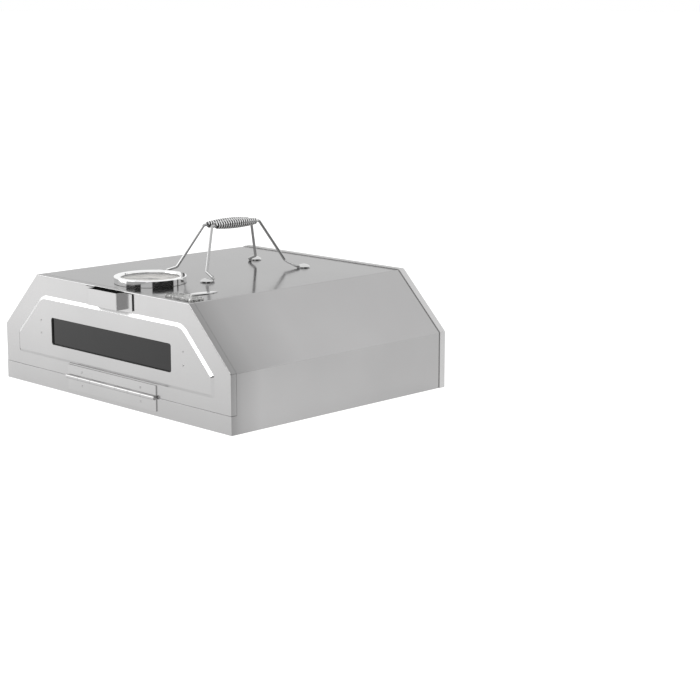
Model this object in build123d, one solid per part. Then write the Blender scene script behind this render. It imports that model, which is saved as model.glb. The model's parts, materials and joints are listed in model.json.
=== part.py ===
from build123d import *

import math
import os

os.makedirs("parts", exist_ok=True)

# Millimetres. +X is to the right, the door faces -Y, +Z is up and z = 0 is the underside.

# Overall shape of the hood
WIDTH = 430.0
DEPTH = 350.0
HEIGHT = 140.0
WALL_HEIGHT = 70.0
TOP_WIDTH = 290.0
SHEET = 1.0
BEND = 3.0
EDGE_ROUND = 1.4
BEND_RATIO = math.tan(math.radians(22.5))

# The grip is the foremost piece, so the origin is halfway from it to the rear panel.
GRIP_REACH = 11.0
FRONT = GRIP_REACH - (DEPTH + GRIP_REACH) / 2
BACK = FRONT + DEPTH

# Gaps
TOUCH_GAP = 0.05
MOVE_GAP = 0.3
HOLE_GAP = 0.1

# Door tray, raised panel and window
SEAM = 22.0
SEAM_HALF_GAP = 0.15
DOOR_BOTTOM = SEAM + SEAM_HALF_GAP
APRON_TOP = SEAM - SEAM_HALF_GAP
SEAM_ROUND = 0.25
DOOR_DEPTH = 8.0
DOOR_SEAT = DOOR_DEPTH + MOVE_GAP
RAISE = 2.1
RAISE_INSET = 24.5
RAISE_RUN = 3.8
RAISE_HALF_WIDTH = 187.0
RAISE_BOTTOM = 38.0
RAISE_TOP_ROUND = 24.0
RAISE_SIDE_ROUND = 4.0
WINDOW_HALF_WIDTH = 114.7
WINDOW_LOW = 56.5
WINDOW_HIGH = 90.1
WINDOW_ROUND = 3.0
GLASS_LAP = 6.0
GLASS_THICKNESS = 4.0
GASKET_THICKNESS = 1.0
GASKET_LIP = 0.8
CLIP_RIVET_X = 136.0
CLIP_RIVET_Z = (68.0, 84.0)

# Grip
GRIP_HALF_WIDTH = 28.0
GRIP_FLANGE_X = 45.0
GRIP_SHEET = 1.0
PAD = 0.8
PAD_BORDER = 0.5
PAD_LIP = 1.3
GRIP_LOW = 118.0
GRIP_HIGH = 138.0

# Door hinge
HINGE_HALF_LENGTH = 84.6
LEAF = 1.2
LEAF_TOP = 36.4
LEAF_BOTTOM = 5.7
KNUCKLES = 7
KNUCKLE_RADIUS = 2.5
PIN_RADIUS = 1.5
HINGE_Y = FRONT - 2.8
HINGE_RIVET_X = 56.5
HINGE_RIVET_Z = (30.1, 13.0)

# Base, stone and inner hood
BASE_FLANGE = 12.0
RAIL_TOP = 34.0
RAIL_X = 170.0
RAIL_REACH = 14.0
RAIL_FRONT = FRONT + 40
RAIL_BACK = FRONT + 330
STONE_THICKNESS = 12.0
BAFFLE_GAP = 15.0

# Thermometer
THERMO_Y = FRONT + 62
THERMO_RADIUS = 43.5
FACE_RADIUS = 35.6
THERMO_LOW = HEIGHT + 0.4
THERMO_TOP = HEIGHT + 8.2
STEM_RADIUS = 3.0

# Name badge
BADGE_X = 113.0
BADGE_Y = FRONT + 20.5
BADGE_THICKNESS = 2.4
ORNAMENT_PLACE = (107.0, FRONT + 52.2)
ORNAMENT_THICKNESS = 1.4

# Handle
WIRE_RADIUS = 1.8
FOOT_X = 45.5
FOOT_Y = (FRONT + 111.5, FRONT + 272.0)
KNEE_X = 28.0
KNEE_Y = (FRONT + 126.5, FRONT + 256.5)
KNEE_Z = HEIGHT + 8.5
GRIP_BAR_X = 7.6
GRIP_BAR_Y = (FRONT + 153.5, FRONT + 231)
GRIP_BAR_Z = HEIGHT + 59.5
COIL_Y = (FRONT + 158, FRONT + 227.5)
COIL_END_RADIUS = 4.0
COIL_MIDDLE_RADIUS = 6.0
FOOT_THICKNESS = 1.2
SCREW_RADIUS = 2.5
SCREW_HEAD_RADIUS = 8.0
SCREW_HEAD_HEIGHT = 3.2


def save(name, part):
    """Write one node to its own STEP file."""
    export_step(part, f"parts/{name}.step")


def block(x0, x1, y0, y1, z0, z1):
    """Box from its lowest to its highest corner."""
    size = (x1 - x0, y1 - y0, z1 - z0)
    return Pos((x0 + x1) / 2, (y0 + y1) / 2, (z0 + z1) / 2) * Box(*size)


def upright(x, y, z0, z1, radius):
    """Vertical cylinder from z0 to z1."""
    return Pos(x, y, (z0 + z1) / 2) * Cylinder(radius, z1 - z0)


def rod_y(x, z, y0, y1, radius):
    """Cylinder along Y from y0 to y1."""
    return Pos(x, (y0 + y1) / 2, z) * Rot(90, 0, 0) * Cylinder(radius, y1 - y0)


def rod_x(x0, x1, y, z, radius):
    """Cylinder along X from x0 to x1."""
    return Pos((x0 + x1) / 2, y, z) * Rot(0, 90, 0) * Cylinder(radius, x1 - x0)


def front_plane(y):
    """Plane at y that faces the front, with its own x to the right and y up."""
    return Plane(origin=(0, y, 0), x_dir=(1, 0, 0), z_dir=(0, -1, 0))


def slab(sketch, y0, y1):
    """A sketch in X and Z, made solid from y0 to y1."""
    return extrude(front_plane(y1) * sketch, amount=y1 - y0)


def outline(inset, bottom, radius):
    """The hood's section: two walls, two 45 degree slopes and a flat top, all moved in."""
    half = WIDTH / 2 - inset
    wall = WALL_HEIGHT - inset * BEND_RATIO
    top_half = TOP_WIDTH / 2 - inset * BEND_RATIO
    top = HEIGHT - inset
    corners = [(-half, bottom), (half, bottom), (half, wall)]
    corners += [(top_half, top), (-top_half, top), (-half, wall)]
    face = make_face(Polyline(*corners, close=True))
    bends = [v for v in face.vertices() if v.Y > bottom + 1]
    return fillet(bends, radius)


def hoop(inset, bottom, y0, y1):
    """A one-sheet hood open below, in front and behind."""
    outside = outline(inset, bottom, BEND)
    inside = outline(inset + SHEET, bottom - 1, BEND - SHEET)
    return slab(outside - inside, y0, y1)


def dome(radius, height):
    """A low round cap that stands on z = 0."""
    ball = (radius**2 + height**2) / (2 * height)
    body = Cylinder(radius, height, align=(Align.CENTER, Align.CENTER, Align.MIN))
    return body & Pos(0, 0, height - ball) * Sphere(ball)


def both_sides(part):
    """The part and its mirror image across the middle."""
    return part + mirror(part, about=Plane.YZ)


# Hood


def foot_places():
    """The four places where the handle is screwed down."""
    return [(side * FOOT_X, y) for y in FOOT_Y for side in (-1, 1)]


def handle_holes(z0, z1):
    """Cutters for the four handle screws."""
    radius = SCREW_RADIUS + HOLE_GAP
    return [upright(x, y, z0, z1, radius) for x, y in foot_places()]


def make_outer_shell():
    shell = hoop(0, 0, FRONT + DOOR_SEAT, BACK - SHEET)
    for hole in handle_holes(HEIGHT - 2, HEIGHT + 1):
        shell -= hole
    stem_hole = upright(0, THERMO_Y, HEIGHT - 2, HEIGHT + 1, STEM_RADIUS + HOLE_GAP)
    return shell - stem_hole


def make_rear_panel():
    lap = 9.0
    clearance = 0.2
    outer = outline(-clearance - SHEET, 0, BEND + clearance + SHEET)
    inner = outline(-clearance, -1, BEND + clearance)
    panel = slab(outer, BACK - SHEET, BACK) + slab(outer - inner, BACK - lap, BACK - SHEET)
    slot_length = 38.0
    slot_height = 6.0
    pitch = 50.0
    for z in (100.0, 114.0):
        for index in range(-2, 3):
            slot = Pos(index * pitch, z) * SlotOverall(slot_length, slot_height)
            panel -= slab(slot, BACK - 2, BACK + 1)
    return panel


def make_front_frame():
    bar = 12.0
    bottom_bar = 26.0
    outer = outline(SHEET + TOUCH_GAP, 0, BEND - SHEET)
    opening = outline(SHEET + bar, bottom_bar, BEND)
    front = FRONT + DOOR_SEAT
    frame = slab(outer - opening, front, front + SHEET)
    lip = hoop(SHEET + TOUCH_GAP, BASE_FLANGE + 1, front + SHEET, front + SHEET + bar)
    return frame + lip


def make_front_apron():
    high = APRON_TOP
    apron = block(-WIDTH / 2, WIDTH / 2, FRONT, FRONT + DOOR_SEAT, 0, high)
    apron = fillet(apron.faces().sort_by(Axis.Y)[0].edges(), SEAM_ROUND)
    half = WIDTH / 2 - SHEET
    apron -= block(-half, half, FRONT + SHEET, FRONT + DOOR_SEAT + 1, SHEET, high - SHEET)
    for side in (-1, 1):
        hole = rod_y(side * HINGE_RIVET_X, HINGE_RIVET_Z[1], FRONT - 1, FRONT + 2, RIVET_HOLE)
        apron -= hole
    return apron


def make_base_plate():
    half = WIDTH / 2 - SHEET - TOUCH_GAP
    y0 = FRONT + DOOR_SEAT + SHEET + TOUCH_GAP
    y1 = BACK - SHEET - TOUCH_GAP
    base = block(-half, half, y0, y1, 0, SHEET)
    for side in (-1, 1):
        inner, outer = sorted((side * (half - SHEET), side * half))
        base += block(inner, outer, y0, y1, 0, BASE_FLANGE)
    slot_length = 56.0
    slot_width = 9.0
    for x in (-135, -90, -45, 45, 90, 135):
        for y in (-90, 0, 90):
            slot = Plane.XY * Pos(x, y) * Rot(0, 0, 90) * SlotOverall(slot_length, slot_width)
            base -= Pos(0, 0, -1) * extrude(slot, amount=SHEET + 2)
    for x, y in rail_rivet_places():
        base -= upright(x, y, -1, 2, 2.0 + TOUCH_GAP)
    return base


def rail_rivet_places():
    """Three rivets along each rail's foot."""
    x = RAIL_X + 8
    return [(side * x, y) for side in (-1, 1) for y in (RAIL_FRONT + 20, 0, RAIL_BACK - 20)]


def make_stone_rail():
    """Right rail: a foot on the base, a web with a low lip, and a ledge for the stone."""
    lip = 6.0
    foot = block(RAIL_X, RAIL_X + 15, RAIL_FRONT, RAIL_BACK, SHEET, 2 * SHEET)
    web = block(RAIL_X, RAIL_X + SHEET, RAIL_FRONT, RAIL_BACK, SHEET, RAIL_TOP + lip)
    ledge = block(RAIL_X - RAIL_REACH, RAIL_X, RAIL_FRONT, RAIL_BACK, RAIL_TOP - SHEET, RAIL_TOP)
    stop = block(RAIL_X - 10, RAIL_X, RAIL_BACK - SHEET, RAIL_BACK, RAIL_TOP, RAIL_TOP + lip)
    rail = foot + web + ledge + stop
    for x, y in rail_rivet_places():
        rail -= upright(x, y, 0, 3, 2.0 + TOUCH_GAP)
    return rail


def make_rail_rivets():
    rivets = []
    for x, y in rail_rivet_places():
        head = Pos(x, y, 2 * SHEET) * dome(3.5, 1.2)
        rivets.append(upright(x, y, 0, 2 * SHEET, 2.0) + head)
    return Compound(children=rivets)


def make_pizza_stone():
    half = RAIL_X - 0.6
    y0 = RAIL_FRONT + 5
    y1 = RAIL_BACK - SHEET - 0.6
    stone = block(-half, half, y0, y1, RAIL_TOP, RAIL_TOP + STONE_THICKNESS)
    stone = fillet(stone.edges().filter_by(Axis.Z), 12)
    return chamfer(stone.faces().sort_by(Axis.Z)[-1].edges(), 1.5)


def make_heat_baffle():
    y0 = FRONT + 24
    y1 = BACK - 4
    baffle = hoop(BAFFLE_GAP, BASE_FLANGE, y0, y1)
    inner = WIDTH / 2 - BAFFLE_GAP - SHEET
    outer = WIDTH / 2 - SHEET - TOUCH_GAP
    baffle += both_sides(block(inner, outer, y0, y1, BASE_FLANGE, BASE_FLANGE + SHEET))
    top = HEIGHT - BAFFLE_GAP
    for hole in handle_holes(top - 2, top + 1):
        baffle -= hole
    return baffle - upright(0, THERMO_Y, top - 2, top + 1, STEM_RADIUS + 1)


def make_baffle_spacers():
    spacers = []
    for x, y in foot_places():
        tube = upright(x, y, HEIGHT - BAFFLE_GAP, HEIGHT - SHEET, 5.0)
        spacers.append(tube - upright(x, y, 0, HEIGHT, SCREW_RADIUS + HOLE_GAP))
    return Compound(children=spacers)


# Door

RIVET_RADIUS = 1.2
RIVET_HOLE = RIVET_RADIUS + TOUCH_GAP
RIVET_HEAD = 1.7
RIVET_HEAD_HEIGHT = 0.4


def rivet_y(x, z, y0, y1):
    """Rivet along Y, with a domed head before y0 and a flat tail behind y1."""
    shank = rod_y(x, z, y0, y1 + 0.6, RIVET_RADIUS)
    tail = rod_y(x, z, y1, y1 + 0.6, RIVET_HEAD)
    head = Pos(x, y0, z) * Rot(90, 0, 0) * dome(RIVET_HEAD, RIVET_HEAD_HEIGHT)
    return shank + tail + head


def raised_outline(inset, top_round, side_round):
    """The raised panel's edge: the hood's slopes and top, between upright sides."""
    total = RAISE_INSET + inset
    half = RAISE_HALF_WIDTH - inset
    top = HEIGHT - total
    top_half = TOP_WIDTH / 2 - total * BEND_RATIO
    shoulder = top - (half - top_half)
    low = RAISE_BOTTOM + inset
    corners = [(-half, low), (half, low), (half, shoulder)]
    corners += [(top_half, top), (-top_half, top), (-half, shoulder)]
    face = make_face(Polyline(*corners, close=True))
    upper = [v for v in face.vertices() if v.Y > top - 1]
    face = fillet(upper, top_round)
    lower = [v for v in face.vertices() if v.Y < shoulder + 1]
    return fillet(lower, side_round)


def raised_block(shift):
    """The raised panel as a solid, moved back by `shift`."""
    foot = front_plane(FRONT + shift) * raised_outline(0, RAISE_TOP_ROUND, RAISE_SIDE_ROUND)
    crest_top = RAISE_TOP_ROUND - RAISE_RUN
    crest = front_plane(FRONT - RAISE + shift) * raised_outline(RAISE_RUN, crest_top, 2.0)
    return loft([foot, crest], ruled=True)


def window_sketch(grow):
    """The window's rounded rectangle, larger by `grow` on each side."""
    width = 2 * (WINDOW_HALF_WIDTH + grow)
    height = WINDOW_HIGH - WINDOW_LOW + 2 * grow
    middle = (WINDOW_HIGH + WINDOW_LOW) / 2
    return Pos(0, middle) * RectangleRounded(width, height, WINDOW_ROUND + max(grow, -1))


def make_door_panel():
    tray = slab(outline(0, DOOR_BOTTOM, BEND), FRONT, FRONT + DOOR_DEPTH)
    face_edges = tray.faces().sort_by(Axis.Y)[0].edges().sort_by(Axis.Z)
    tray = fillet(face_edges[1:], EDGE_ROUND)
    lower_edge = tray.faces().sort_by(Axis.Y)[0].edges().sort_by(Axis.Z)[0]
    tray = fillet(lower_edge, SEAM_ROUND)
    pocket = outline(SHEET, DOOR_BOTTOM + SHEET, BEND - SHEET)
    tray -= slab(pocket, FRONT + SHEET, FRONT + DOOR_DEPTH + 1)
    panel = tray + raised_block(0) - raised_block(SHEET)
    panel -= slab(window_sketch(0), FRONT - RAISE - 1, FRONT)
    for side in (-1, 1):
        x = side * HINGE_RIVET_X
        panel -= rod_y(x, HINGE_RIVET_Z[0], FRONT - 1, FRONT + 2, RIVET_HOLE)
        for z in CLIP_RIVET_Z:
            panel -= rod_y(side * CLIP_RIVET_X, z, FRONT - RAISE - 1, FRONT, RIVET_HOLE)
    return panel


CREST_BACK = FRONT - RAISE + SHEET
GLASS_FRONT = CREST_BACK + GASKET_THICKNESS
GLASS_BACK = GLASS_FRONT + GLASS_THICKNESS


def make_window_gasket():
    ring = window_sketch(GLASS_LAP) - window_sketch(-GASKET_LIP)
    return slab(ring, CREST_BACK, GLASS_FRONT)


def make_window_glass():
    return slab(window_sketch(GLASS_LAP - 0.5), GLASS_FRONT, GLASS_BACK)


def make_glass_clip():
    """Right clip: a foot on the door, a riser beside the glass and a finger behind it."""
    low, high = 60.0, 92.0
    riser_x = WINDOW_HALF_WIDTH + GLASS_LAP + 3
    foot = block(riser_x, riser_x + 19, CREST_BACK, CREST_BACK + SHEET, low, high)
    riser = block(riser_x, riser_x + SHEET, CREST_BACK, GLASS_BACK + SHEET, low, high)
    finger = block(riser_x - 9, riser_x + SHEET, GLASS_BACK, GLASS_BACK + SHEET, low, high)
    clip = foot + riser + finger
    for z in CLIP_RIVET_Z:
        clip -= rod_y(CLIP_RIVET_X, z, CREST_BACK - 1, CREST_BACK + 2, RIVET_HOLE)
    return clip


def make_glass_clip_rivets():
    rivets = []
    for x in (-CLIP_RIVET_X, CLIP_RIVET_X):
        for z in CLIP_RIVET_Z:
            rivets.append(rivet_y(x, z, FRONT - RAISE, CREST_BACK + SHEET))
    return Compound(children=rivets)


def make_door_grip():
    """Hat-section strap, open above and closed below, with a flange each side."""
    face = FRONT - PAD
    front = FRONT - GRIP_REACH
    outer = block(-GRIP_HALF_WIDTH, GRIP_HALF_WIDTH, front, face, GRIP_LOW, GRIP_HIGH)
    outer = fillet(outer.faces().sort_by(Axis.Y)[0].edges().filter_by(Axis.Z), 1.0)
    flange_x = GRIP_FLANGE_X
    outer += block(-flange_x, flange_x, face - GRIP_SHEET, face, GRIP_LOW, GRIP_HIGH)
    half = GRIP_HALF_WIDTH - GRIP_SHEET
    return outer - block(-half, half, front + GRIP_SHEET, FRONT + 1, GRIP_LOW + GRIP_SHEET, HEIGHT)


def make_grip_pad():
    """Black insulating tray inside the strap, on a sheet that runs behind the strap's flanges."""
    wide = GRIP_FLANGE_X + PAD_BORDER
    setback = 0.8
    sheet = block(-wide, wide, FRONT - PAD, FRONT, GRIP_LOW + setback, GRIP_HIGH - 0.3)
    half = GRIP_HALF_WIDTH - GRIP_SHEET - TOUCH_GAP
    sheet += block(-half, half, FRONT - PAD, FRONT, GRIP_HIGH - 1, GRIP_HIGH + PAD_LIP)
    front = FRONT - GRIP_REACH + GRIP_SHEET + TOUCH_GAP
    low = GRIP_LOW + GRIP_SHEET + TOUCH_GAP
    tray = block(-half, half, front, FRONT - PAD, low, GRIP_HIGH - 0.3)
    hollow = block(-half + PAD, half - PAD, front + PAD, FRONT - PAD, low + PAD, HEIGHT)
    return sheet + tray - hollow


# Hinge


def knuckle_spans(first):
    """X spans of every second knuckle, counted from `first`."""
    gaps = (KNUCKLES - 1) * MOVE_GAP
    length = (2 * HINGE_HALF_LENGTH - gaps) / KNUCKLES
    spans = []
    for index in range(first, KNUCKLES, 2):
        x0 = -HINGE_HALF_LENGTH + index * (length + MOVE_GAP)
        spans.append((x0, x0 + length))
    return spans


def make_leaf(first, direction):
    """Leaf on the front face, above the pin for direction 1 and below it for -1."""
    far = LEAF_TOP if direction > 0 else LEAF_BOTTOM
    notch = SEAM + direction * KNUCKLE_RADIUS
    low, high = sorted((notch, far))
    half = HINGE_HALF_LENGTH
    leaf = block(-half, half, FRONT - LEAF, FRONT, low, high)
    rivet_z = HINGE_RIVET_Z[0 if direction > 0 else 1]
    for side in (-1, 1):
        leaf -= rod_y(side * HINGE_RIVET_X, rivet_z, FRONT - 3, FRONT + 1, RIVET_HOLE)
    for x0, x1 in knuckle_spans(first):
        near, edge = sorted((notch, SEAM + direction * 0.3))
        leaf += block(x0, x1, FRONT - LEAF, FRONT, near, edge)
        leaf += rod_x(x0, x1, HINGE_Y, SEAM, KNUCKLE_RADIUS)
        leaf -= rod_x(x0 - 0.1, x1 + 0.1, HINGE_Y, SEAM, PIN_RADIUS + TOUCH_GAP)
    return leaf


def make_hinge_pin():
    half = HINGE_HALF_LENGTH
    pin = rod_x(-half - 0.9, half + 0.9, HINGE_Y, SEAM, PIN_RADIUS)
    head = rod_x(half + 0.1, half + 0.9, HINGE_Y, SEAM, 2.1)
    return pin + both_sides(head)


def make_hinge_rivets(z):
    rivets = []
    for side in (-1, 1):
        rivets.append(rivet_y(side * HINGE_RIVET_X, z, FRONT - LEAF, FRONT + SHEET))
    return Compound(children=rivets)


# Catch that holds the door shut

CATCH_Z = 131.0
CATCH_PIN = 2.0


def make_catch_stud():
    base = rod_y(0, CATCH_Z, FRONT + SHEET, FRONT + SHEET + 1, 4.0)
    return base + rod_y(0, CATCH_Z, FRONT + SHEET, FRONT + DOOR_DEPTH - 1.2, CATCH_PIN)


def make_catch_clip():
    frame_front = FRONT + DOOR_SEAT
    foot = block(-11, 11, frame_front - 0.8, frame_front, CATCH_Z - 3.5, CATCH_Z + 3.5)
    inner = CATCH_PIN + 0.35
    jaw = block(inner, inner + 0.8, frame_front - 4.5, frame_front, CATCH_Z - 3.5, CATCH_Z + 3.5)
    return foot + both_sides(jaw)


# Thermometer

CASE_RADIUS = THERMO_RADIUS - 1.5
CASE_FLOOR = HEIGHT + 0.8
CASE_RIM = THERMO_TOP - 3.4
DIAL_LOW = CASE_RIM - 2.2
DIAL_HIGH = DIAL_LOW + 0.4
LENS_TOP = CASE_RIM + 1.2
STAFF_RADIUS = 0.8


def turned(profile_points):
    """A turned piece on the thermometer's axis, from radius and height pairs."""
    face = make_face(Plane.XZ * Polyline(*profile_points, close=True))
    return Pos(0, THERMO_Y, 0) * revolve(face, Axis.Z)


def make_thermometer_case():
    bore = STEM_RADIUS + TOUCH_GAP
    wall = CASE_RADIUS - 1
    points = [(bore, HEIGHT), (CASE_RADIUS, HEIGHT), (CASE_RADIUS, CASE_RIM)]
    points += [(wall, CASE_RIM), (wall, CASE_FLOOR), (bore, CASE_FLOOR)]
    return turned(points)


def make_thermometer_bezel():
    """Ring with an upright wall, a rounded crest, a broad top and a steep lip down to the lens."""
    inner = CASE_RADIUS + TOUCH_GAP
    crest = 1.0
    reach = THERMO_RADIUS - crest
    bulge = crest * math.sqrt(0.5)
    rounded = ThreePointArc(
        (THERMO_RADIUS, THERMO_TOP - crest),
        (reach + bulge, THERMO_TOP - crest + bulge),
        (reach, THERMO_TOP),
    )
    wall = Polyline((inner, LENS_TOP), (inner, THERMO_LOW), (THERMO_RADIUS, THERMO_LOW), rounded @ 0)
    brink = (FACE_RADIUS + 0.9, THERMO_TOP - 0.3)
    foot = (FACE_RADIUS, LENS_TOP + 0.2)
    lip = Polyline(rounded @ 1, brink, foot, (FACE_RADIUS, LENS_TOP), (inner, LENS_TOP))
    face = make_face(Plane.XZ * (wall + rounded + lip))
    return Pos(0, THERMO_Y, 0) * revolve(face, Axis.Z)


def make_thermometer_lens():
    return upright(0, THERMO_Y, CASE_RIM, LENS_TOP, CASE_RADIUS)


def make_thermometer_dial():
    dial = upright(0, THERMO_Y, DIAL_LOW, DIAL_HIGH, CASE_RADIUS - 1.2)
    return dial - upright(0, THERMO_Y, HEIGHT, THERMO_TOP, STAFF_RADIUS + 0.2)


def make_thermometer_pointer():
    """Tapered needle with a tail, on a hub that turns on the staff."""
    low = DIAL_HIGH + 0.3
    high = low + 0.4
    tip = 30.0
    tail = 10.0
    needle = make_face(Polyline((-tail, -1.3), (tip, -0.3), (tip, 0.3), (-tail, 1.3), close=True))
    needle = Pos(0, THERMO_Y, low) * Rot(0, 0, 225) * extrude(needle, amount=high - low)
    hub = upright(0, THERMO_Y, low, low + 0.7, 3.0)
    return needle + hub - upright(0, THERMO_Y, HEIGHT, THERMO_TOP, STAFF_RADIUS + TOUCH_GAP)


def make_thermometer_stem():
    """Probe tube, a collar inside the case, and the staff that the pointer turns on."""
    tip = 108.0
    probe = upright(0, THERMO_Y, tip, CASE_FLOOR, STEM_RADIUS)
    collar = upright(0, THERMO_Y, CASE_FLOOR, DIAL_LOW, 5.0)
    staff = upright(0, THERMO_Y, DIAL_LOW, CASE_RIM - 0.3, STAFF_RADIUS)
    return fillet(probe.faces().sort_by(Axis.Z)[0].edges(), 2.0) + collar + staff


def hexagon_nut(x, y, z0, z1, across, bore):
    """Hexagonal nut with its bore."""
    sketch = RegularPolygon(across / math.sqrt(3), 6)
    body = Pos(x, y, z0) * extrude(sketch, amount=z1 - z0)
    return body - upright(x, y, z0 - 1, z1 + 1, bore)


def make_thermometer_nut():
    bore = STEM_RADIUS + TOUCH_GAP
    return hexagon_nut(0, THERMO_Y, HEIGHT - SHEET - 4, HEIGHT - SHEET, 12.0, bore)


# Handle


def make_handle_wire():
    """Right bail: foot, knee, straight bar, knee and foot, in one bent wire."""
    end_reach = SCREW_HEAD_RADIUS + 0.3
    end_z = HEIGHT + WIRE_RADIUS + 0.1
    points = []
    for foot_y, knee_y, inward in zip(FOOT_Y, KNEE_Y, (1, -1)):
        end = (FOOT_X, foot_y + inward * end_reach, end_z)
        turn = (FOOT_X - 0.8, foot_y + inward * (end_reach + 3.5), end_z + 0.8)
        arm = [end, turn, (KNEE_X, knee_y, KNEE_Z)]
        points += arm if inward > 0 else arm[::-1]
    points[3:3] = [(GRIP_BAR_X, y, GRIP_BAR_Z) for y in GRIP_BAR_Y]
    path = FilletPolyline(*points, radius=3.0)
    start = Plane(origin=path @ 0, z_dir=path % 0)
    wire = sweep(start * Circle(WIRE_RADIUS), path=path)

    half_strip = 2.5
    for foot_y, inward in zip(FOOT_Y, (1, -1)):
        eye = upright(FOOT_X, foot_y, HEIGHT, HEIGHT + FOOT_THICKNESS, 6.0)
        y0, y1 = sorted((foot_y, foot_y + inward * (end_reach + 1)))
        strip = block(FOOT_X - half_strip, FOOT_X + half_strip, y0, y1, HEIGHT, HEIGHT + FOOT_THICKNESS)
        wire += eye + strip
        wire -= upright(FOOT_X, foot_y, HEIGHT - 1, HEIGHT + 9, SCREW_RADIUS + HOLE_GAP)
    return wire


def make_coil_grip():
    """Envelope of the right spring grip: a barrel with the wire's bore."""
    middle = (COIL_Y[0] + COIL_Y[1]) / 2
    bore = WIRE_RADIUS + HOLE_GAP
    end_low = Vector(COIL_END_RADIUS, COIL_Y[0])
    end_high = Vector(COIL_END_RADIUS, COIL_Y[1])
    belly = ThreePointArc(end_low, (COIL_MIDDLE_RADIUS, middle), end_high)
    sides = Polyline(end_high, (bore, COIL_Y[1]), (bore, COIL_Y[0]), end_low)
    barrel = revolve(make_face(belly + sides), Axis.Y)
    return Pos(GRIP_BAR_X, 0, GRIP_BAR_Z) * barrel


def make_handle_screws():
    screws = []
    top = HEIGHT + FOOT_THICKNESS
    for x, y in foot_places():
        shank = upright(x, y, HEIGHT - BAFFLE_GAP - 6, top, SCREW_RADIUS)
        screws.append(shank + Pos(x, y, top) * dome(SCREW_HEAD_RADIUS, SCREW_HEAD_HEIGHT))
    return Compound(children=screws)


def make_handle_nuts():
    top = HEIGHT - BAFFLE_GAP - SHEET
    bore = SCREW_RADIUS + TOUCH_GAP
    return Compound(children=[hexagon_nut(x, y, top - 4, top, 8.0, bore) for x, y in foot_places()])


def make_name_badge():
    """Blank cast plate with a raised border round a sunk field."""
    length, width, corner = 54.0, 20.0, 7.0
    border = 2.0
    plate = extrude(RectangleRounded(length, width, corner), amount=BADGE_THICKNESS)
    plate = chamfer(plate.faces().sort_by(Axis.Z)[-1].edges(), 0.7)
    field = RectangleRounded(length - 2 * border, width - 2 * border, corner - border)
    plate -= Pos(0, 0, BADGE_THICKNESS - 0.6) * extrude(field, amount=1)
    return Pos(BADGE_X, BADGE_Y, HEIGHT) * plate


def make_badge_leaf():
    """Smooth pointed ornament between two arcs, behind the name badge."""
    half_length, half_width = 20.5, 5.5
    tilt = 80.0
    tip, far_tip = (-half_length, 0), (half_length, 0)
    upper = ThreePointArc(tip, (0, half_width), far_tip)
    lower = ThreePointArc(far_tip, (0, -half_width), tip)
    leaf = extrude(make_face(upper + lower), amount=ORNAMENT_THICKNESS)
    leaf = chamfer(leaf.faces().sort_by(Axis.Z)[-1].edges(), 0.8)
    return Pos(*ORNAMENT_PLACE, HEIGHT) * Rot(0, 0, tilt) * leaf


def main():
    rail = make_stone_rail()
    clip = make_glass_clip()
    wire = make_handle_wire()
    coil = make_coil_grip()
    save("outer_shell", make_outer_shell())
    save("rear_panel", make_rear_panel())
    save("front_frame", make_front_frame())
    save("front_apron", make_front_apron())
    save("base_plate", make_base_plate())
    save("stone_rail_right", rail)
    save("stone_rail_left", mirror(rail, about=Plane.YZ))
    save("rail_rivets", make_rail_rivets())
    save("pizza_stone", make_pizza_stone())
    save("heat_baffle", make_heat_baffle())
    save("baffle_spacers", make_baffle_spacers())
    save("door_panel", make_door_panel())
    save("window_gasket", make_window_gasket())
    save("window_glass", make_window_glass())
    save("glass_clip_right", clip)
    save("glass_clip_left", mirror(clip, about=Plane.YZ))
    save("glass_clip_rivets", make_glass_clip_rivets())
    save("door_grip", make_door_grip())
    save("grip_pad", make_grip_pad())
    save("hinge_leaf_door", make_leaf(1, 1))
    save("hinge_leaf_fixed", make_leaf(0, -1))
    save("hinge_pin", make_hinge_pin())
    save("hinge_rivets_door", make_hinge_rivets(HINGE_RIVET_Z[0]))
    save("hinge_rivets_fixed", make_hinge_rivets(HINGE_RIVET_Z[1]))
    save("catch_stud", make_catch_stud())
    save("catch_clip", make_catch_clip())
    save("thermometer_case", make_thermometer_case())
    save("thermometer_bezel", make_thermometer_bezel())
    save("thermometer_lens", make_thermometer_lens())
    save("thermometer_dial", make_thermometer_dial())
    save("thermometer_pointer", make_thermometer_pointer())
    save("thermometer_stem", make_thermometer_stem())
    save("thermometer_nut", make_thermometer_nut())
    save("handle_wire_right", wire)
    save("handle_wire_left", mirror(wire, about=Plane.YZ))
    save("coil_grip_right", coil)
    save("coil_grip_left", mirror(coil, about=Plane.YZ))
    save("handle_screws", make_handle_screws())
    save("handle_nuts", make_handle_nuts())
    save("name_badge", make_name_badge())
    save("badge_leaf", make_badge_leaf())


main()
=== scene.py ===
"""Looks for a steel grill-top pizza oven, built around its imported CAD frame. Metres, door facing -Y."""

import json
import math

import bmesh
import bpy
from mathutils import Matrix, Vector


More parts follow.
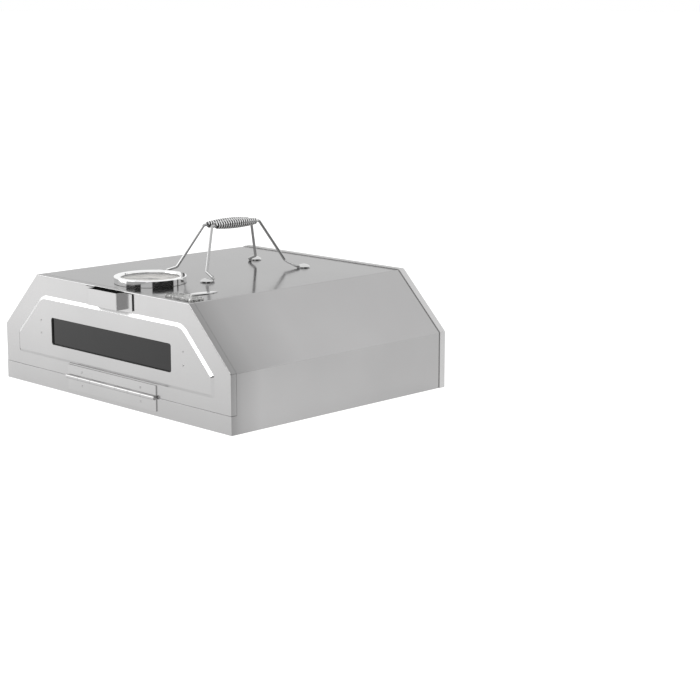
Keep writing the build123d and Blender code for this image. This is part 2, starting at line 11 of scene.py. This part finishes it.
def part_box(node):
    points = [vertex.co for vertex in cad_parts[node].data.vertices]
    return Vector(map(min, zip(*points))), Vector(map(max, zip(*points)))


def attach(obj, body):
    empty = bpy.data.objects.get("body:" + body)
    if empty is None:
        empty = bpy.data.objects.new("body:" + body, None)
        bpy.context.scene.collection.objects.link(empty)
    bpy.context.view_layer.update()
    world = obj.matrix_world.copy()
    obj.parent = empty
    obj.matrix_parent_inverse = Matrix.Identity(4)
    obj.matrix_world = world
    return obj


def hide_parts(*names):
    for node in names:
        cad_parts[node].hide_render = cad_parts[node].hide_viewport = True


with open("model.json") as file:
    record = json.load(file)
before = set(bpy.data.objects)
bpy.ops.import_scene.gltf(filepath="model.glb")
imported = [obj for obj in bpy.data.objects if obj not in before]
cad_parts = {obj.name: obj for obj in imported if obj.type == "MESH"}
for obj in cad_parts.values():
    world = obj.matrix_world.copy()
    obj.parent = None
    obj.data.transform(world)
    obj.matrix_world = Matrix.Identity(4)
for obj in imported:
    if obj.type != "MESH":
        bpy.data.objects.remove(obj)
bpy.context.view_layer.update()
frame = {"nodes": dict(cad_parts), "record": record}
NODES = frame["nodes"]

# Camera: place in metres, turn, drop and roll in degrees, lens and sensor in millimetres
CAMERA_PLACE = Vector((1.635, -1.4085, 0.4837))
CAMERA_TURN = 44.92
CAMERA_DROP = 11.61
CAMERA_ROLL = 0.07
CAMERA_LENS = 90.3
CAMERA_SENSOR = 36.0
CAMERA_CLIP = (0.05, 100.0)

# Stainless sheet of the body, outside
BODY_STEEL = (0.447, 0.444, 0.444)
STEEL_EDGE_TINT = (0.71, 0.71, 0.71, 1)
GRAIN_STRETCH = 60
SHEET_RELIEF = 4e-6

# Painted shade, standing in for a dark reflection, behind the oven's front edge: its width on
# walls and on slopes in metres, and how much darker it makes the metal. It shows where the metal
# faces sideways; the tilt tells a slope from a wall.
FRONT_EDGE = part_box("front_apron")[0].y
FRONT_SHADE_WALL = 0.045
FRONT_SHADE_SLOPE = 0.115
FRONT_SHADE_DEPTH = 0.38
FRONT_SHADE_SIDEWAYS = (0.5, 0.65)
FRONT_SHADE_TILT = (0.1, 0.6)

# Painted highlight on the bead round the door's raised panel: how far it faces up, how far in
# metres it stands proud of the front before it shows, and its added roughness
BEAD_HIGHLIGHT = (0.93, 0.93, 0.93, 1)
BEAD_FACING = (0.26, 0.8)
BEAD_FACING_SOFT = 0.05
BEAD_PROUD = 0.0002
BEAD_SOFTER = 0.16

# Studio floor: half its width, its glow along the slant from the front left to the back right,
# and the sectors, in degrees around the middle, where reflections see it fade out far away
FLOOR_SIZE = 30.0
FLOOR_FRONT_LEFT = 1.28
FLOOR_BACK_RIGHT = 0.735
FLOOR_SLANT = (-1.3, 0.6)
FADE_START = 0.82
FADE_END = 0.9
FADE_DEPTH = 0.95
DARK_SECTORS = ((-116, -54), (-37, 28))
SECTOR_SOFT = 0.05

# Studio sky, and the dark upright panels in it: degrees around, low and high edge, soft edge
SKY = (1.05, 1.05, 1.05, 1)
WHITE = (1.0, 1.0, 1.0, 1)
PANEL_GREY = (0.03, 0.03, 0.03, 1)
DARK_PANELS = ((-121, -69), (-33, 39), (55, 60))
PANEL_LOW = -0.03
PANEL_HIGH = 0.325
PANEL_SOFT = 0.012

# Softbox: metres and watts
SOFTBOX_PLACE = (-1.15, -1.8, 1.2)
SOFTBOX_TARGET = (0, 0, 0.1)
SOFTBOX_SIZE = (3.0, 1.0)
SOFTBOX_POWER = 19.0

# Spring grips: wire radius, pitch and radius at the ends in metres, steps to a turn and round
# the wire
COIL_WIRE = 0.0012
COIL_PITCH = 0.0036
COIL_END_RADIUS = 0.004
COIL_TURN_STEPS = 22
COIL_RING_STEPS = 8

# Dial scale: steps, and long and short ticks. Places and lengths are shares of the dial's
# radius; widths, thicknesses and the numbers' sizes are in metres.
DIAL_START = math.radians(225)
DIAL_SWEEP = math.radians(270)
DIAL_STEPS = 50
DIAL_MAJOR = 10
DIAL_MAJOR_VALUE = 100
TICK_OUTER = 0.84
TICK_LENGTHS = (0.11, 0.06)
TICK_WIDTHS = (0.0007, 0.0004)
TICK_THICKNESS = 4e-5
NUMBER_PLACE = 0.6
NUMBER_SIZE = 0.0068
NUMBER_EXTRUDE = 2e-5
NUMBER_LIFT = 2.5e-5


# Material helpers


def new_material(name):
    """A node material with a Principled shader, and the pieces that its builder needs."""
    material = bpy.data.materials.new(name)
    material.use_nodes = True
    tree = material.node_tree
    return material, tree, tree.nodes["Principled BSDF"]


def add(tree, kind, **inputs):
    """A new node with the given sockets set, by socket name with _ for a space."""
    node = tree.nodes.new(kind)
    for key, value in inputs.items():
        node.inputs[key.replace("_", " ")].default_value = value
    return node


def position(tree, stretch=(1, 1, 1)):
    """Object coordinates, scaled per axis."""
    source = tree.nodes.new("ShaderNodeTexCoord")
    mapping = tree.nodes.new("ShaderNodeMapping")
    mapping.inputs["Scale"].default_value = stretch
    tree.links.new(source.outputs["Object"], mapping.inputs["Vector"])
    return mapping.outputs["Vector"]


def noise(tree, vector, scale, detail, roughness):
    """Noise factor at that many cells to the metre."""
    node = add(tree, "ShaderNodeTexNoise", Scale=scale, Detail=detail, Roughness=roughness)
    tree.links.new(vector, node.inputs["Vector"])
    return node.outputs["Fac"]


def spread(tree, factor, low, high, start=0.3, end=0.7):
    """The factor mapped from start-end to low-high."""
    node = tree.nodes.new("ShaderNodeMapRange")
    node.inputs["From Min"].default_value = start
    node.inputs["From Max"].default_value = end
    node.inputs["To Min"].default_value = low
    node.inputs["To Max"].default_value = high
    tree.links.new(factor, node.inputs["Value"])
    return node.outputs["Result"]


def ramp(tree, factor, stops):
    """Colour ramp of (place, grey or colour) stops."""
    node = tree.nodes.new("ShaderNodeValToRGB")
    while len(node.color_ramp.elements) < len(stops):
        node.color_ramp.elements.new(0.5)
    for element, (place, colour) in zip(node.color_ramp.elements, stops):
        element.position = place
        element.color = (*colour, 1)
    tree.links.new(factor, node.inputs["Fac"])
    return node.outputs["Color"]


def bump(tree, shader, height, distance, strength):
    """Relief of that many metres on the shader."""
    node = add(tree, "ShaderNodeBump", Strength=strength, Distance=distance)
    tree.links.new(height, node.inputs["Height"])
    tree.links.new(node.outputs["Normal"], shader.inputs["Normal"])


def feed(tree, value, socket):
    """A link or a plain value into a socket."""
    if isinstance(value, bpy.types.NodeSocket):
        tree.links.new(value, socket)
    else:
        socket.default_value = value


def math_node(tree, operation, *values):
    """Math node on one or two links or plain numbers."""
    node = tree.nodes.new("ShaderNodeMath")
    node.operation = operation
    for value, socket in zip(values, node.inputs):
        feed(tree, value, socket)
    return node.outputs[0]


def product(tree, first, second):
    """First times second."""
    return math_node(tree, "MULTIPLY", first, second)


def band(tree, value, low, high, soft):
    """1 between low and high, 0 outside, with soft edges."""
    up = spread(tree, value, 0.0, 1.0, low - soft, low + soft)
    down = spread(tree, value, 1.0, 0.0, high - soft, high + soft)
    return product(tree, up, down)


def axes_of(tree, vector):
    """The X, Y and Z sockets of a vector."""
    node = tree.nodes.new("ShaderNodeSeparateXYZ")
    tree.links.new(vector, node.inputs["Vector"])
    return node.outputs["X"], node.outputs["Y"], node.outputs["Z"]


def own_normal(tree):
    """X, Y and Z of the surface's direction in the piece's own frame, which turns with it."""
    source = tree.nodes.new("ShaderNodeTexCoord")
    return axes_of(tree, source.outputs["Normal"])


def any_of(tree, shares):
    """The largest of several shares."""
    largest = shares[0]
    for share in shares[1:]:
        largest = math_node(tree, "MAXIMUM", largest, share)
    return largest


def mix_colours(tree, share, first, second, blend="MIX"):
    """From the first colour at share 0 to the blend with the second at 1; links or plain values."""
    node = tree.nodes.new("ShaderNodeMix")
    node.data_type = "RGBA"
    node.blend_type = blend
    for key, value in (("Factor", share), ("A", first), ("B", second)):
        feed(tree, value, node.inputs[key])
    return node.outputs["Result"]


def mix_multiply(tree, first, second):
    """Product of two colours."""
    return mix_colours(tree, 1.0, first, second, "MULTIPLY")


def tint(colour, factor):
    """A colour made lighter or darker."""
    return tuple(min(1.0, c * factor) for c in colour)


# Materials


def painted_front_shade(tree, colour):
    """The colour with painted shade, as of a dark reflection, on side-facing metal towards the oven's
    front edge.
    """
    _, place_y, _ = axes_of(tree, position(tree))
    facing_x, _, facing_z = own_normal(tree)
    sideways = spread(tree, math_node(tree, "ABSOLUTE", facing_x), 0.0, 1.0, *FRONT_SHADE_SIDEWAYS)
    width = spread(tree, facing_z, FRONT_SHADE_WALL, FRONT_SHADE_SLOPE, *FRONT_SHADE_TILT)
    past = math_node(tree, "DIVIDE", math_node(tree, "SUBTRACT", place_y, FRONT_EDGE), width)
    near = ramp(tree, past, [(0.0, (1, 1, 1)), (0.35, (0.45, 0.45, 0.45)), (1.0, (0, 0, 0))])
    share = product(tree, product(tree, sideways, near), FRONT_SHADE_DEPTH)
    shade = spread(tree, share, 1.0, 0.0, 0.0, 1.0)
    return mix_multiply(tree, colour, shade)


def painted_bead_highlight(tree, shader, colour, gloss):
    """Painted highlight on the pressed bead, with a softer finish: metal proud of the front that faces
    up.
    """
    _, _, facing_z = own_normal(tree)
    _, place_y, _ = axes_of(tree, position(tree))
    upward = band(tree, facing_z, *BEAD_FACING, BEAD_FACING_SOFT)
    proud = spread(tree, place_y, 1.0, 0.0, FRONT_EDGE - BEAD_PROUD, FRONT_EDGE)
    share = product(tree, upward, proud)
    tree.links.new(mix_colours(tree, share, colour, BEAD_HIGHLIGHT), shader.inputs["Base Color"])
    softer = math_node(tree, "ADD", gloss, product(tree, share, BEAD_SOFTER))
    tree.links.new(softer, shader.inputs["Roughness"])


def rolled_steel(name, colour, polish, grain, grain_axis, front_shade=False, bead=False):
    """Stainless sheet: fine rolled grain along one axis, faint cloudy finish and handling marks;
    optionally painted shade behind the front edge and a painted highlight on the bead.
    """
    material, tree, shader = new_material(name)
    along = [1 if axis == grain_axis else GRAIN_STRETCH for axis in "xyz"]
    fine = noise(tree, position(tree, along), grain, 4.0, 0.6)
    cloud = noise(tree, position(tree), 9.0, 3.0, 0.5)
    marks = noise(tree, position(tree), 46.0, 5.0, 0.6)
    shader.inputs["Metallic"].default_value = 1.0
    stops = [(0.25, tint(colour, 0.965)), (0.5, colour), (0.75, tint(colour, 1.035))]
    finish = ramp(tree, cloud, stops)
    # Painted shade, as of a dark reflection, on side-facing metal behind the front edge
    if front_shade:
        finish = painted_front_shade(tree, finish)
    tree.links.new(finish, shader.inputs["Base Color"])
    shader.inputs["Specular Tint"].default_value = STEEL_EDGE_TINT
    wear = spread(tree, marks, polish * 0.88, polish * 1.14)
    gloss = product(tree, spread(tree, fine, 0.9, 1.12), wear)
    tree.links.new(gloss, shader.inputs["Roughness"])
    # Painted highlight on the door's pressed bead
    if bead:
        painted_bead_highlight(tree, shader, finish, gloss)
    bump(tree, shader, fine, SHEET_RELIEF, 0.35)
    return material


def chrome(name, colour, polish=0.035):
    """Bright plating with a very slight waviness."""
    material, tree, shader = new_material(name)
    wave = noise(tree, position(tree), 160.0, 2.0, 0.5)
    shader.inputs["Metallic"].default_value = 1.0
    stops = [(0.3, tint(colour, 0.97)), (0.7, colour)]
    tree.links.new(ramp(tree, wave, stops), shader.inputs["Base Color"])
    tree.links.new(spread(tree, wave, polish * 0.7, polish * 1.3), shader.inputs["Roughness"])
    bump(tree, shader, wave, 6e-6, 0.3)
    return material


def spring_chrome(name, colour):
    """Plated spring wire with painted shade where the turns face each other, and duller there too."""
    material, tree, shader = new_material(name)
    _, facing_y, _ = own_normal(tree)
    along = math_node(tree, "ABSOLUTE", facing_y)
    wave = noise(tree, position(tree), 240.0, 2.0, 0.5)
    painted_turn_shade = math_node(tree, "ADD", along, spread(tree, wave, -0.05, 0.05))
    # Painted shade between the turns: darker where the wire faces along the coil
    stops = [(0.4, colour), (0.7, tint(colour, 0.45)), (0.92, tint(colour, 0.06))]
    tree.links.new(ramp(tree, painted_turn_shade, stops), shader.inputs["Base Color"])
    shader.inputs["Metallic"].default_value = 1.0
    tree.links.new(spread(tree, painted_turn_shade, 0.06, 0.4, 0.3, 0.9), shader.inputs["Roughness"])
    return material


def pebbled_chrome(name, colour):
    """Plating over a finely pebbled casting."""
    material, tree, shader = new_material(name)
    cells = add(tree, "ShaderNodeTexVoronoi", Scale=430.0)
    tree.links.new(position(tree), cells.inputs["Vector"])
    shader.inputs["Metallic"].default_value = 1.0
    shader.inputs["Roughness"].default_value = 0.09
    stops = [(0.0, colour), (0.55, tint(colour, 0.45))]
    tree.links.new(ramp(tree, cells.outputs["Distance"], stops), shader.inputs["Base Color"])
    bump(tree, shader, cells.outputs["Distance"], 9e-4, 1.0)
    return material


def dark_glass(name):
    """Tinted heat-resistant glass, nearly black, with a faint film."""
    material, tree, shader = new_material(name)
    film = noise(tree, position(tree), 24.0, 4.0, 0.6)
    stops = [(0.3, (0.007, 0.007, 0.007)), (0.7, (0.0095, 0.0095, 0.0095))]
    tree.links.new(ramp(tree, film, stops), shader.inputs["Base Color"])
    tree.links.new(spread(tree, film, 0.03, 0.07), shader.inputs["Roughness"])
    shader.inputs["IOR"].default_value = 1.38
    return material


def clear_glass(name):
    """Clear lens with a trace of dust in its roughness."""
    material, tree, shader = new_material(name)
    dust = noise(tree, position(tree), 300.0, 3.0, 0.6)
    tree.links.new(spread(tree, dust, 0.0, 0.02), shader.inputs["Roughness"])
    shader.inputs["Base Color"].default_value = (0.97, 0.97, 0.96, 1)
    shader.inputs["Transmission Weight"].default_value = 1.0
    shader.inputs["IOR"].default_value = 1.1
    return material


def woven_gasket(name):
    """Black glass-fibre tape."""
    material, tree, shader = new_material(name)
    weave = add(tree, "ShaderNodeTexVoronoi", Scale=900.0)
    tree.links.new(position(tree), weave.inputs["Vector"])
    stops = [(0.0, (0.035, 0.034, 0.033)), (0.8, (0.012, 0.012, 0.012))]
    tree.links.new(ramp(tree, weave.outputs["Distance"], stops), shader.inputs["Base Color"])
    shader.inputs["Roughness"].default_value = 0.85
    bump(tree, shader, weave.outputs["Distance"], 2e-4, 0.6)
    return material


def moulded_pad_and_pocket_shade(name):
    """Matt black heat-resistant plastic with a fine spark-eroded grain; as the grip's black liner it also
    stands in for the shade in the finger pocket and along the grip's edges.
    """
    material, tree, shader = new_material(name)
    grain = noise(tree, position(tree), 2600.0, 3.0, 0.6)
    stops = [(0.3, (0.006, 0.006, 0.006)), (0.7, (0.011, 0.011, 0.011))]
    tree.links.new(ramp(tree, grain, stops), shader.inputs["Base Color"])
    tree.links.new(spread(tree, grain, 0.55, 0.75), shader.inputs["Roughness"])
    shader.inputs["Specular IOR Level"].default_value = 0.04
    bump(tree, shader, grain, 4e-5, 0.5)
    return material


def satin_dial(name):
    """Warm grey enamel with a fine speck."""
    material, tree, shader = new_material(name)
    speck = noise(tree, position(tree), 800.0, 4.0, 0.6)
    stops = [(0.3, (0.36, 0.338, 0.31)), (0.7, (0.40, 0.376, 0.345))]
    tree.links.new(ramp(tree, speck, stops), shader.inputs["Base Color"])
    shader.inputs["Metallic"].default_value = 0.3
    tree.links.new(spread(tree, speck, 0.38, 0.5), shader.inputs["Roughness"])
    bump(tree, shader, speck, 8e-6, 0.3)
    return material


def print_ink(name, colour):
    """Screen-printed ink with slightly uneven cover."""
    material, tree, shader = new_material(name)
    cover = noise(tree, position(tree), 1500.0, 3.0, 0.6)
    stops = [(0.3, tint(colour, 0.85)), (0.7, tint(colour, 1.2))]
    tree.links.new(ramp(tree, cover, stops), shader.inputs["Base Color"])
    tree.links.new(spread(tree, cover, 0.4, 0.6), shader.inputs["Roughness"])
    return material


def fired_stone(name):
    """Cordierite: sandy, speckled and matt."""
    material, tree, shader = new_material(name)
    grit = noise(tree, position(tree), 420.0, 6.0, 0.7)
    patch = noise(tree, position(tree), 14.0, 3.0, 0.5)
    speck = add(tree, "ShaderNodeTexVoronoi", Scale=260.0)
    tree.links.new(position(tree), speck.inputs["Vector"])
    sand = [(0.3, (0.42, 0.34, 0.25)), (0.55, (0.56, 0.47, 0.36)), (0.75, (0.66, 0.58, 0.47))]
    base = ramp(tree, grit, sand)
    shade = ramp(tree, patch, [(0.3, (0.86, 0.84, 0.82)), (0.7, (1.0, 1.0, 1.0))])
    dots = ramp(tree, speck.outputs["Distance"], [(0.08, (0.45, 0.38, 0.3)), (0.2, (1.0, 1.0, 1.0))])
    first = mix_multiply(tree, base, shade)
    tree.links.new(mix_multiply(tree, first, dots), shader.inputs["Base Color"])
    shader.inputs["Roughness"].default_value = 0.92
    bump(tree, shader, grit, 3e-4, 0.6)
    return material


def make_materials():
    """Material for each slot of the record."""
    return {
        # Hood and door steel carry painted shade behind the front edge; the door's bead carries a painted
        # highlight
        "hood_steel": rolled_steel("hood_steel", BODY_STEEL, 0.13, 10.0, "y", front_shade=True),
        "panel_steel": rolled_steel("panel_steel", tint(BODY_STEEL, 1.3), 0.2, 12.0, "x"),
        "door_steel": rolled_steel("door_steel", BODY_STEEL, 0.2, 12.0, "x", front_shade=True, bead=True),
        "grip_steel": rolled_steel("grip_steel", BODY_STEEL, 0.18, 14.0, "x"),
        "hinge_steel": rolled_steel("hinge_steel", tint(BODY_STEEL, 1.04), 0.17, 16.0, "x"),
        "inner_steel": rolled_steel("inner_steel", (0.5, 0.495, 0.485), 0.3, 14.0, "x"),
        "rivet_steel": rolled_steel("rivet_steel", tint(BODY_STEEL, 0.93), 0.26, 30.0, "z"),
        "bezel_chrome": chrome("bezel_chrome", (0.86, 0.86, 0.86)),
        "wire_chrome": chrome("wire_chrome", (0.44, 0.44, 0.44), 0.06),
        "spring_chrome": spring_chrome("spring_chrome", (0.88, 0.88, 0.88)),
        "screw_chrome": chrome("screw_chrome", (0.64, 0.64, 0.64), 0.05),
        "badge_chrome": pebbled_chrome("badge_chrome", (0.72, 0.72, 0.71)),
        "window_glass": dark_glass("window_glass"),
        "gasket": woven_gasket("gasket"),
        # Black grip pad: partly real plastic, partly standing in for the shade inside the finger pocket
        # and at the grip's edges
        "pad_black": moulded_pad_and_pocket_shade("pad_black"),
        "dial_glass": clear_glass("dial_glass"),
        "dial_face": satin_dial("dial_face"),
        "pointer_paint": print_ink("pointer_paint", (0.03, 0.03, 0.03)),
        "cordierite": fired_stone("cordierite"),
    }


def paint_nodes(materials):
    """Each CAD node gets the material of its slot in the record."""
    for row in frame["record"]["subparts"]:
        node = NODES[row["node"]]
        node.data.materials.clear()
        node.data.materials.append(materials[row["material_slot"]])


# Pieces


def new_piece(name, mesh, body, material):
    """A mesh object in the row frame that rides on a body."""
    piece = bpy.data.objects.new(name, mesh)
    bpy.context.scene.collection.objects.link(piece)
    mesh.materials.append(material)
    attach(piece, body)
    return piece


def tube_mesh(name, points, radius, sides):
    """Closed tube along a line of points, with a frame that doesn't twist."""
    mesh = bmesh.new()
    rings = []
    normal = None
    for index, point in enumerate(points):
        before = points[max(index - 1, 0)]
        after = points[min(index + 1, len(points) - 1)]
        tangent = (after - before).normalized()
        if normal is None:
            normal = tangent.orthogonal().normalized()
        normal = (normal - tangent * normal.dot(tangent)).normalized()
        side = tangent.cross(normal)
        ring = []
        for step in range(sides):
            angle = 2 * math.pi * step / sides
            offset = normal * math.cos(angle) + side * math.sin(angle)
            ring.append(mesh.verts.new(point + offset * radius))
        rings.append(ring)
    for first, second in zip(rings, rings[1:]):
        for step in range(sides):
            after = (step + 1) % sides
            mesh.faces.new((first[step], first[after], second[after], second[step]))
    mesh.faces.new(rings[0][::-1])
    mesh.faces.new(rings[-1])
    bmesh.ops.recalc_face_normals(mesh, faces=mesh.faces)
    data = bpy.data.meshes.new(name)
    mesh.to_mesh(data)
    mesh.free()
    for polygon in data.polygons:
        polygon.use_smooth = len(polygon.vertices) == 4
    return data


def coil_points(node):
    """A helix that follows the barrel shape of a coil grip's envelope."""
    low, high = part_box(node)
    centre = (low + high) / 2
    end_radius = COIL_END_RADIUS - COIL_WIRE
    middle_radius = (high.z - low.z) / 2 - COIL_WIRE
    start = low.y + COIL_WIRE
    length = high.y - low.y - 2 * COIL_WIRE
    turns = length / COIL_PITCH
    steps = int(turns * COIL_TURN_STEPS)
    points = []
    for step in range(steps + 1):
        share = step / steps
        swell = 1 - (2 * share - 1) ** 2
        radius = end_radius + (middle_radius - end_radius) * swell
        angle = 2 * math.pi * turns * share
        offset = Vector((radius * math.cos(angle), 0, radius * math.sin(angle)))
        points.append(Vector((centre.x, start + length * share, centre.z)) + offset)
    return points


def make_coils(materials):
    """Spring grips wound from wire, in place of their smooth envelopes."""
    for side in ("right", "left"):
        node = f"coil_grip_{side}"
        mesh = tube_mesh(f"spring_grip_{side}", coil_points(node), COIL_WIRE, COIL_RING_STEPS)
        material = materials["spring_chrome"]
        piece = new_piece(f"spring_grip_{side}", mesh, "oven", material)
        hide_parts(node)


def dial_centre():
    """Middle of the dial's top face, and its radius."""
    low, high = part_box("thermometer_dial")
    return Vector(((low.x + high.x) / 2, (low.y + high.y) / 2, high.z)), (high.x - low.x) / 2


def flat_strip(mesh, centre, angle, start, end, width, thickness):
    """A thin raised strip that points away from the dial's centre."""
    outward = Vector((math.cos(angle), math.sin(angle), 0))
    across = Vector((-outward.y, outward.x, 0)) * width / 2
    corners = []
    for z in (0, thickness):
        lift = Vector((0, 0, z))
        for along, sign in ((start, -1), (end, -1), (end, 1), (start, 1)):
            corners.append(mesh.verts.new(centre + outward * along + across * sign + lift))
    faces = [(3, 2, 1, 0), (4, 5, 6, 7), (0, 1, 5, 4), (1, 2, 6, 5), (2, 3, 7, 6), (3, 0, 4, 7)]
    for face in faces:
        mesh.faces.new([corners[index] for index in face])


def make_dial_scale(materials):
    """Tick marks round the dial, with a longer one at each number."""
    centre, radius = dial_centre()
    mesh = bmesh.new()
    for step in range(DIAL_STEPS + 1):
        angle = DIAL_START - DIAL_SWEEP * step / DIAL_STEPS
        kind = 0 if step % DIAL_MAJOR == 0 else 1
        outer = radius * TICK_OUTER
        inner = outer - radius * TICK_LENGTHS[kind]
        flat_strip(mesh, centre, angle, inner, outer, TICK_WIDTHS[kind], TICK_THICKNESS)
    data = bpy.data.meshes.new("dial_ticks")
    mesh.to_mesh(data)
    mesh.free()
    new_piece("dial_ticks", data, "oven", materials["pointer_paint"])


def make_dial_numbers(materials):
    """Plain numbers at the long ticks."""
    centre, radius = dial_centre()
    for index in range(DIAL_STEPS // DIAL_MAJOR + 1):
        angle = DIAL_START - DIAL_SWEEP * index * DIAL_MAJOR / DIAL_STEPS
        curve = bpy.data.curves.new(f"number_{index}", "FONT")
        curve.body = str(index * DIAL_MAJOR_VALUE)
        curve.size = NUMBER_SIZE
        curve.align_x = "CENTER"
        curve.align_y = "CENTER"
        curve.extrude = NUMBER_EXTRUDE
        text = bpy.data.objects.new(f"number_source_{index}", curve)
        bpy.context.scene.collection.objects.link(text)
        bpy.context.view_layer.update()
        mesh = bpy.data.meshes.new_from_object(text)
        bpy.data.objects.remove(text)
        place = centre + Vector((math.cos(angle), math.sin(angle), 0)) * radius * NUMBER_PLACE
        mesh.transform(Matrix.Translation(place + Vector((0, 0, NUMBER_LIFT))))
        mesh.materials.clear()
        new_piece(f"dial_number_{index}", mesh, "oven", materials["pointer_paint"])


# Studio


def make_floor():
    """Large pale floor that glows a little more towards the front left."""
    size = FLOOR_SIZE
    mesh = bpy.data.meshes.new("floor")
    corners = [(-size, -size, 0), (size, -size, 0), (size, size, 0), (-size, size, 0)]
    mesh.from_pydata(corners, [], [(0, 1, 2, 3)])
    floor = bpy.data.objects.new("floor", mesh)
    bpy.context.scene.collection.objects.link(floor)
    material, tree, shader = new_material("studio_floor")
    shader.inputs["Base Color"].default_value = (0.25, 0.25, 0.25, 1)
    shader.inputs["Roughness"].default_value = 0.9
    shader.inputs["Specular IOR Level"].default_value = 0.0
    shader.inputs["Emission Color"].default_value = (1, 1, 1, 1)
    tree.links.new(floor_glow(tree), shader.inputs["Emission Strength"])
    mesh.materials.append(material)


def floor_glow(tree):
    """Plain white to the camera; reflections see the slanted glow and the sectors that fade out."""
    x, y, _ = axes_of(tree, position(tree))
    slant = math_node(tree, "ADD", x, y)
    glow = spread(tree, slant, FLOOR_FRONT_LEFT, FLOOR_BACK_RIGHT, *FLOOR_SLANT)
    sector = any_of(tree, around_bands(tree, x, y, DARK_SECTORS, SECTOR_SOFT))
    squares = math_node(tree, "ADD", product(tree, x, x), product(tree, y, y))
    distance = math_node(tree, "SQRT", squares)
    far = spread(tree, distance, 0.0, FADE_DEPTH, FADE_START, FADE_END)
    glow = product(tree, glow, math_node(tree, "SUBTRACT", 1.0, product(tree, sector, far)))
    path = tree.nodes.new("ShaderNodeLightPath")
    seen = tree.nodes.new("ShaderNodeMix")
    seen.inputs["B"].default_value = 1.0
    tree.links.new(path.outputs["Is Camera Ray"], seen.inputs["Factor"])
    tree.links.new(glow, seen.inputs["A"])
    return seen.outputs["Result"]


def around_bands(tree, x, y, spans, soft):
    """One band for each span of degrees around the studio's middle."""
    around = math_node(tree, "ARCTAN2", y, x)
    return [band(tree, around, math.radians(low), math.radians(high), soft) for low, high in spans]


def make_world():
    """White studio with a few dark upright panels low around it, which only reflections show."""
    world = bpy.data.worlds.new("studio")
    bpy.context.scene.world = world
    world.use_nodes = True
    tree = world.node_tree
    background = tree.nodes["Background"]
    coordinates = tree.nodes.new("ShaderNodeTexCoord")
    x, y, z = axes_of(tree, coordinates.outputs["Generated"])
    panels = any_of(tree, around_bands(tree, x, y, DARK_PANELS, PANEL_SOFT))
    height = band(tree, z, PANEL_LOW, PANEL_HIGH, PANEL_SOFT)
    share = product(tree, panels, height)
    mixed = mix_colours(tree, share, SKY, PANEL_GREY)
    path = tree.nodes.new("ShaderNodeLightPath")
    shown = mix_colours(tree, path.outputs["Is Camera Ray"], mixed, WHITE)
    tree.links.new(shown, background.inputs["Color"])
    background.inputs["Strength"].default_value = 1.0


def make_softbox():
    """A long softbox over the front left, unseen by the camera, that lights the door's raised edges."""
    data = bpy.data.lights.new("front_softbox", "AREA")
    data.shape = "RECTANGLE"
    data.size, data.size_y = SOFTBOX_SIZE
    data.energy = SOFTBOX_POWER
    light = bpy.data.objects.new("front_softbox", data)
    bpy.context.scene.collection.objects.link(light)
    place = Vector(SOFTBOX_PLACE)
    aim = (Vector(SOFTBOX_TARGET) - place).to_track_quat("-Z", "Y").to_matrix().to_4x4()
    light.matrix_world = Matrix.Translation(place) @ aim
    light.visible_camera = False


def make_camera():
    """Camera at the set place, turned, tilted down and rolled."""
    data = bpy.data.cameras.new("camera")
    camera = bpy.data.objects.new("camera", data)
    bpy.context.scene.collection.objects.link(camera)
    bpy.context.scene.camera = camera
    data.lens = CAMERA_LENS
    data.sensor_width = CAMERA_SENSOR
    data.clip_start, data.clip_end = CAMERA_CLIP
    turn = Matrix.Rotation(math.radians(CAMERA_TURN), 4, "Z")
    tilt = Matrix.Rotation(math.radians(90 - CAMERA_DROP), 4, "X")
    roll = Matrix.Rotation(math.radians(CAMERA_ROLL), 4, "Z")
    camera.matrix_world = Matrix.Translation(CAMERA_PLACE) @ turn @ tilt @ roll


make_camera()
all_materials = make_materials()
paint_nodes(all_materials)
make_coils(all_materials)
make_dial_scale(all_materials)
make_dial_numbers(all_materials)
make_floor()
make_world()
make_softbox()
bpy.context.scene.view_settings.view_transform = "Standard"
